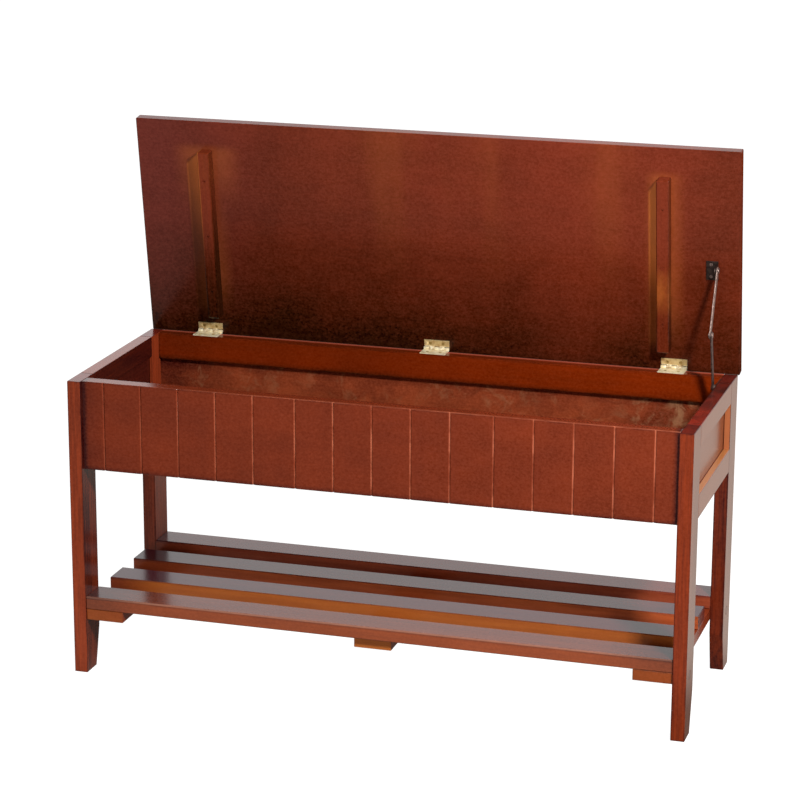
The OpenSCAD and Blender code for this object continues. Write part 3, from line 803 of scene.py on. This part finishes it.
def ply_smears(tree, place, position, normal):
    """Pale smears all over, and two large ones near the right end."""
    x = split(tree, place)[X]
    swirl = swirled(tree, place)
    patches = noise(tree, swirl, (34, 34, 40), 8.0, 4, 0.65)
    broad = noise(tree, swirl, (13, 13, 18), 2.0, 2, 0.5)
    large = calc(
        tree,
        "MAXIMUM",
        ease(tree, calc(tree, "ABSOLUTE", add_up(tree, x, -0.318)), 0.03, 0.01),
        ease(tree, calc(tree, "ABSOLUTE", add_up(tree, x, -0.372)), 0.03, 0.008),
    )
    small = times(tree, ease(tree, patches, 0.48, 0.66), ease(tree, broad, 0.4, 0.6, 0.05, 0.35))
    smears = add_up(tree, small, times(tree, large, ease(tree, patches, 0.42, 0.6), 0.55))
    return times(tree, smears, facing(tree, normal, Y, 0.3, -0.3))


def outside_with_sheen(stain, top=None):
    """The outside of the right end is greyer than the rest, a painted reflection of the pale room, and the sawn tops
    took more red.
    """

    def tone(tree, place, position, normal):
        at_end = ease(tree, split(tree, position)[X], TO_LEGS - 0.005, TO_LEGS + 0.005)
        inside = blend_colour(tree, facing(tree, normal, Z), stain, top) if top else stain
        return blend_colour(tree, times(tree, facing(tree, normal, X), at_end), inside, PAINTED_SHEEN)

    return tone


# Woods. Each piece has a seed of its own

leg_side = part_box("leg_front_right")[1].x
NAILS_FRONT = [((leg_side, -0.151, 0.318), 0.0022), ((leg_side, -0.132, 0.3185), 0.0018)]
NAILS_REAR = [((leg_side, 0.137, 0.318), 0.002)]
walls = {"thin": recess_walls, "pale": WALL_ORANGE}
for leg, tone, seed, deeper in (
    ("front_left", LEG_LEFT, 3.0, facing_depth(RIGHT_SIDE, 0.65)),
    ("front_right", LEG_RED, 8.0, facing_depth(RIGHT_SIDE, 0.0, 0.06, 0.35, NAILS_FRONT)),
    ("rear_left", LEG_LEFT, 13.0, facing_depth(FRONT, 0.15)),
    ("rear_right", LEG_RED, 18.0, facing_depth(FRONT, 0.5, 0.0, 0.35, NAILS_REAR)),
):
    stained("leg_" + leg, "upright", outside_with_sheen(tone, CRIMSON), seed, deeper, figure=0.85, mottle=0.16, **walls)
stained(
    "front_panel", "along", PANEL_RED, 31.0, panel_stain_and_shade, thin=grooves_and_top_highlight, pale=GROOVE_AND_HIGHLIGHT_PINK, figure=0.12, mottle=0.24
)
inward = facing_depth(RIGHT_SIDE, 0.9)
stained("end_top_rail_left", "crosswise", LEG_RED, 41.0, inward, mottle=0.15, **walls)
stained("end_top_rail_right", "crosswise", outside_with_sheen(CRIMSON), 44.0, end_top_depth, mottle=0.15, **walls)
stained("end_bottom_rail_left", "crosswise", LEG_RED, 47.0, inward, mottle=0.15, **walls)
stained(
    "end_bottom_rail_right", "crosswise", outside_with_sheen(LEG_RED), 50.0, thin=recess_walls, pale=LOWER_WALL, mottle=0.15
)
stained("end_panel_left", "crosswise", RED_BROWN, 55.0, inward, edge=0.0)
stained("end_panel_right", "crosswise", outside_with_sheen(RED_BROWN), 57.0, edge=0.0)
stained("rear_top_rail", "along", RAIL_RED, 61.0, rail_depth_and_shade, LID_POOLED_AND_SHADED, rail_top_highlight, RAIL_HIGHLIGHT, figure=0.3)
stained("rear_bottom_rail", "along", RAIL_RED, 63.0, deep=LID_POOLED_AND_SHADED, figure=0.3)
stained(
    "shelf_slat_front", "along", RUST, 71.0, slat_shade_and_light(0.5, -0.1, 0.4), thin=pale_face_and_arris_highlight(0.4, 0.07), pale=SLAT_PALE_AND_HIGHLIGHT,
    edge=0.0,
)
for slat, seed, deeper, thin, pale in (
    ("mid_front", 75.0, slat_shade_and_light(0.85, -0.15, 0.5), front_faces(0.9, 0.2, 0.25), ORANGE),
    ("mid_rear", 79.0, slat_shade_and_light(0.65, -0.2, 0.4), front_faces(1.0, 0.6, 0.4), MID_REAR_PALE),
    ("rear", 83.0, slat_shade_and_light(0.45, -0.15, 0.2), front_faces(0.9, 0.3, 0.6), REAR_PALE),
):
    stained("shelf_slat_" + slat, "along", SHELF_RED, seed, deeper, SLAT_POOLED_AND_SHADED, thin, pale)
for cleat, seed, pale, streaky in (("left", 91.0, 0.4, 0.5), ("middle", 94.0, 1.0, 0.15), ("right", 97.0, 0.3, 0.5)):
    stained("shelf_cleat_" + cleat, "crosswise", SHELF_RED, seed, thin=front_faces(pale, pale, streaky))
stained(
    "lid_board", "lid", lid_stain, 103.0, lid_depth_and_shade, LID_POOLED_AND_SHADED, batten_halo_and_lit_strips, LID_PALE_AND_LIGHT, figure=0.15, mottle=0.22,
    edge=0.2, bevel=0.0, matt=lid_end,
)
for side, seed, crest in (
    ("left", 107.0, batten_crest(0.1, -0.1, 0.8)),
    ("right", 109.0, batten_crest(0.5, 0.035, 0.0)),
):
    stained("lid_batten_" + side, "lid crosswise", BATTEN_BROWN, seed, batten_depth_and_shade, LID_POOLED_AND_SHADED, crest, edge=0.2)
stained("batten_screws", "lid crosswise", BATTEN_BROWN, 111.0, batten_depth_and_shade, LID_POOLED_AND_SHADED, edge=0.0, bevel=0.0001)
stained("leg_plugs", "crosswise", PLUG_BROWN, 113.0, figure=0.5, mottle=0.3, edge=0.0, bevel=0.0005)
stained(
    "rear_panel", "along", PLY_BROWN, 121.0, ply_depth_and_shade, thin=ply_smears, pale=PLY_PALE, figure=0.2, mottle=0.3, edge=0.0
)
stained("bottom_panel", "along", PLY_BROWN, 123.0, figure=0.5, mottle=0.3, edge=0.0)
stained("floor_ledger_front", "along", PLY_DARK, 125.0)
stained("floor_ledger_rear", "along", PLY_DARK, 127.0)
stained("frame_dowels", "crosswise", BARE, 129.0, figure=0.2, mottle=0.1, edge=0.0, bevel=0.0004)


# Metals

SIDES = ("left", "middle", "right")
BRASS, BRASS_DULL = linear(246, 236, 206), linear(226, 206, 160)
# The leaf on the lid faces a little downward: its tones and those of its screws are the brass painted in shade, and its
# knuckles get a painted highlight
SHADED_LID_LEAF, SHADED_LID_LEAF_DULL, KNUCKLE_HIGHLIGHT = linear(212, 186, 134), linear(184, 150, 98), linear(255, 246, 216)
FRAME_SCREW, SHADED_LID_SCREW, SCREW_DULL = linear(206, 180, 112), linear(186, 156, 96), linear(150, 124, 74)
STEEL, STEEL_DULL = linear(158, 134, 124), linear(120, 100, 92)
DARK_STEEL, DARK_DULL, DARKEST = linear(116, 96, 90), linear(70, 56, 50), linear(40, 30, 26)
pin_low, pin_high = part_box("hinge_pin_middle")
PIN = (pin_low + pin_high) / 2
BARREL = 0.0038


def barrel(tree, position):
    """1 on the knuckles of a hinge, 0 on its flat."""
    across = vector_calc(tree, "MULTIPLY", vector_calc(tree, "SUBTRACT", position, PIN), (0, 1, 1))
    return ease(tree, vector_calc(tree, "LENGTH", across), BARREL + 0.0004, BARREL - 0.0004)


def metal(name, node_names, bright, dull, polish, metallic, seed, width=0.0003, turn=GRAIN["along"], knuckles=None):
    """One metal finish, given to each of the nodes. The knuckles of a hinge leaf may have a tone of their own, a
    painted highlight.
    """
    for k, node in enumerate(node_names):
        piece = pieces[node]
        m, tree, shader = new_material(name + " on " + node.replace("_", " "))
        place, position, _ = place_on(tree, block_of(piece, turn)[0], turn)
        tone = blend_colour(tree, barrel(tree, position), bright, knuckles) if knuckles else bright
        made = use_group(tree, worn_metal, place=place, seed=seed + 2.0 * k, bright=tone, dull=dull, polish=polish)
        connect(tree, made, shader)
        shader.inputs["Metallic"].default_value = metallic
        give(piece, m)
        soften(piece, width)


metal("brass", ["hinge_frame_leaf_" + s for s in SIDES], BRASS, BRASS_DULL, 0.34, 0.4, 1.0)
metal("brass", ["hinge_pin_" + s for s in SIDES], BRASS, BRASS_DULL, 0.3, 0.6, 11.0)
metal("brass", ["hinge_frame_screws"], FRAME_SCREW, SCREW_DULL, 0.34, 0.8, 21.0, 0.0001)
lid_leaves = ["hinge_lid_leaf_" + s for s in SIDES]
metal("brass", lid_leaves, SHADED_LID_LEAF, SHADED_LID_LEAF_DULL, 0.34, 0.5, 31.0, turn=LID_TURN, knuckles=KNUCKLE_HIGHLIGHT)
metal("brass", ["hinge_lid_screws"], SHADED_LID_SCREW, SCREW_DULL, 0.34, 0.8, 41.0, 0.0001, LID_TURN)
metal("bright steel", ["stay_upper_arm", "stay_elbow_rivet", "stay_elbow_washer"], STEEL, STEEL_DULL, 0.42, 0.7, 51.0)
metal("bright steel", ["stay_lid_pin", "stay_lid_screws"], STEEL, STEEL_DULL, 0.3, 0.85, 55.0, 0.0001, LID_TURN)
metal("bright steel", ["stay_box_pin", "stay_box_screws"], STEEL, STEEL_DULL, 0.3, 0.85, 61.0)
metal("dark steel", ["stay_lower_arm", "stay_box_bracket"], DARK_STEEL, DARK_DULL, 0.36, 0.8, 65.0)
metal("dark steel", ["stay_lid_bracket"], DARK_DULL, DARKEST, 0.36, 0.8, 71.0, turn=LID_TURN)
metal("steel", ["slat_screws", "leg_bolts"], STEEL, STEEL_DULL, 0.34, 0.9, 75.0, 0.0001)


# The room: a white sweep behind and below, a soft light from the front right, a dim room behind the camera

WHITE = (1.0, 1.0, 1.0, 1)
PAPER_DARK, PAPER_LIGHT, PAPER_GLOW = (0.23, 0.23, 0.23, 1), (0.25, 0.25, 0.25, 1), (0.97, 0.97, 0.97, 1)
FLOOR_FRONT, FLOOR_BACK, FLOOR_SHADE = (0.30, 0.30, 0.30, 1), (0.82, 0.74, 0.66, 1), (0.05, 0.04, 0.03, 1)
WALL_FRONT, WALL_BACK = 0.12, 1.35

floor_material, tree, shader = new_material("white sweep")
tree.nodes.remove(shader)
out = tree.nodes["Material Output"]
coordinates = tree.nodes.new("ShaderNodeTexCoord").outputs["Object"]
x, y, z = split(tree, coordinates)
# What the camera sees: evenly white paper
paper = noise(tree, coordinates, (40, 40, 40), 1.0, 3, 0.5)
matt = tree.nodes.new("ShaderNodeBsdfDiffuse")
tint = blend_colour(tree, ease(tree, paper, 0.3, 0.7), PAPER_DARK, PAPER_LIGHT)
tree.links.new(tint, matt.inputs["Color"])
glow = tree.nodes.new("ShaderNodeEmission")
glow.inputs["Color"].default_value = PAPER_GLOW
seen = tree.nodes.new("ShaderNodeAddShader")
tree.links.new(matt.outputs[0], seen.inputs[0])
tree.links.new(glow.outputs[0], seen.inputs[1])
# What the bench gets: brighter paper behind it, a dimmer room in front, and its own shade to the back and the left
bounce = tree.nodes.new("ShaderNodeEmission")
aside = calc(tree, "ABSOLUTE", add_up(tree, x, (y, 0.5)))
under = times(tree, ease(tree, aside, 0.6, 0.42), ease(tree, y, 1.6, 0.2), ease(tree, y, -0.5, -0.2))
lit = blend_colour(tree, ease(tree, y, -1.0, 0.3), FLOOR_FRONT, FLOOR_BACK)
tree.links.new(blend_colour(tree, times(tree, under, 0.8), lit, FLOOR_SHADE), bounce.inputs["Color"])
path = tree.nodes.new("ShaderNodeLightPath")
both = tree.nodes.new("ShaderNodeMixShader")
tree.links.new(path.outputs["Is Camera Ray"], both.inputs[0])
tree.links.new(bounce.outputs[0], both.inputs[1])
tree.links.new(seen.outputs[0], both.inputs[2])
tree.links.new(both.outputs[0], out.inputs["Surface"])
bpy.ops.object.select_all(action="DESELECT")
bpy.ops.mesh.primitive_plane_add(size=24)
floor = bpy.context.object
floor.name = "floor"
give(floor, floor_material)

# The sky of the room: dim in front of the bench and overhead, bright behind it, white to the camera
world = bpy.data.worlds.new("studio")
bpy.context.scene.world = world
world.use_nodes = True
tree = world.node_tree
coordinates = tree.nodes.new("ShaderNodeTexCoord")
x, y, z = split(tree, coordinates.outputs["Generated"])
wall = times(tree, ease(tree, y, -0.1, 0.5, WALL_FRONT, WALL_BACK), ease(tree, z, 0.95, 0.55, 0.35, 1.0))
path = tree.nodes.new("ShaderNodeLightPath")
seen = blend_colour(tree, path.outputs["Is Camera Ray"], wall, WHITE)
tree.links.new(seen, tree.nodes["Background"].inputs["Color"])


MIDDLE_OF_BENCH = Vector((0, 0, 0.35))


def soft_light(name, toward, distance, size, power):
    """A square soft light that shines on the middle of the bench from the given direction."""
    bpy.ops.object.select_all(action="DESELECT")
    direction = Vector(toward).normalized()
    bpy.ops.object.light_add(type="AREA", location=MIDDLE_OF_BENCH + direction * distance)
    light = bpy.context.object
    light.name = name
    light.rotation_euler = direction.to_track_quat("Z", "Y").to_euler()
    light.data.size = size
    light.data.energy = power


soft_light("key light", (0.565, -0.565, 0.602), 2.4, 0.28, 68)
soft_light("low fill light", (0.1, -0.98, 0.1), 3.4, 1.6, 27)

# The camera stands where the photograph was taken from
CAMERA_PLACE = (1.0944, -3.6478, 1.4515)
PITCH, YAW, ROLL = radians(15.479), radians(16.84), radians(0.232)
bpy.ops.object.select_all(action="DESELECT")
bpy.ops.object.camera_add()
camera = bpy.context.object
camera.name = "camera"
camera.matrix_world = (
    Matrix.Translation(CAMERA_PLACE)
    @ Matrix.Rotation(YAW, 4, "Z")
    @ Matrix.Rotation(pi / 2 - PITCH, 4, "X")
    @ Matrix.Rotation(ROLL, 4, "Z")
)
camera.data.sensor_width = 36
camera.data.lens = 125.945
camera.data.clip_end = 100
bpy.context.scene.camera = camera
bpy.context.scene.view_settings.view_transform = "Standard"
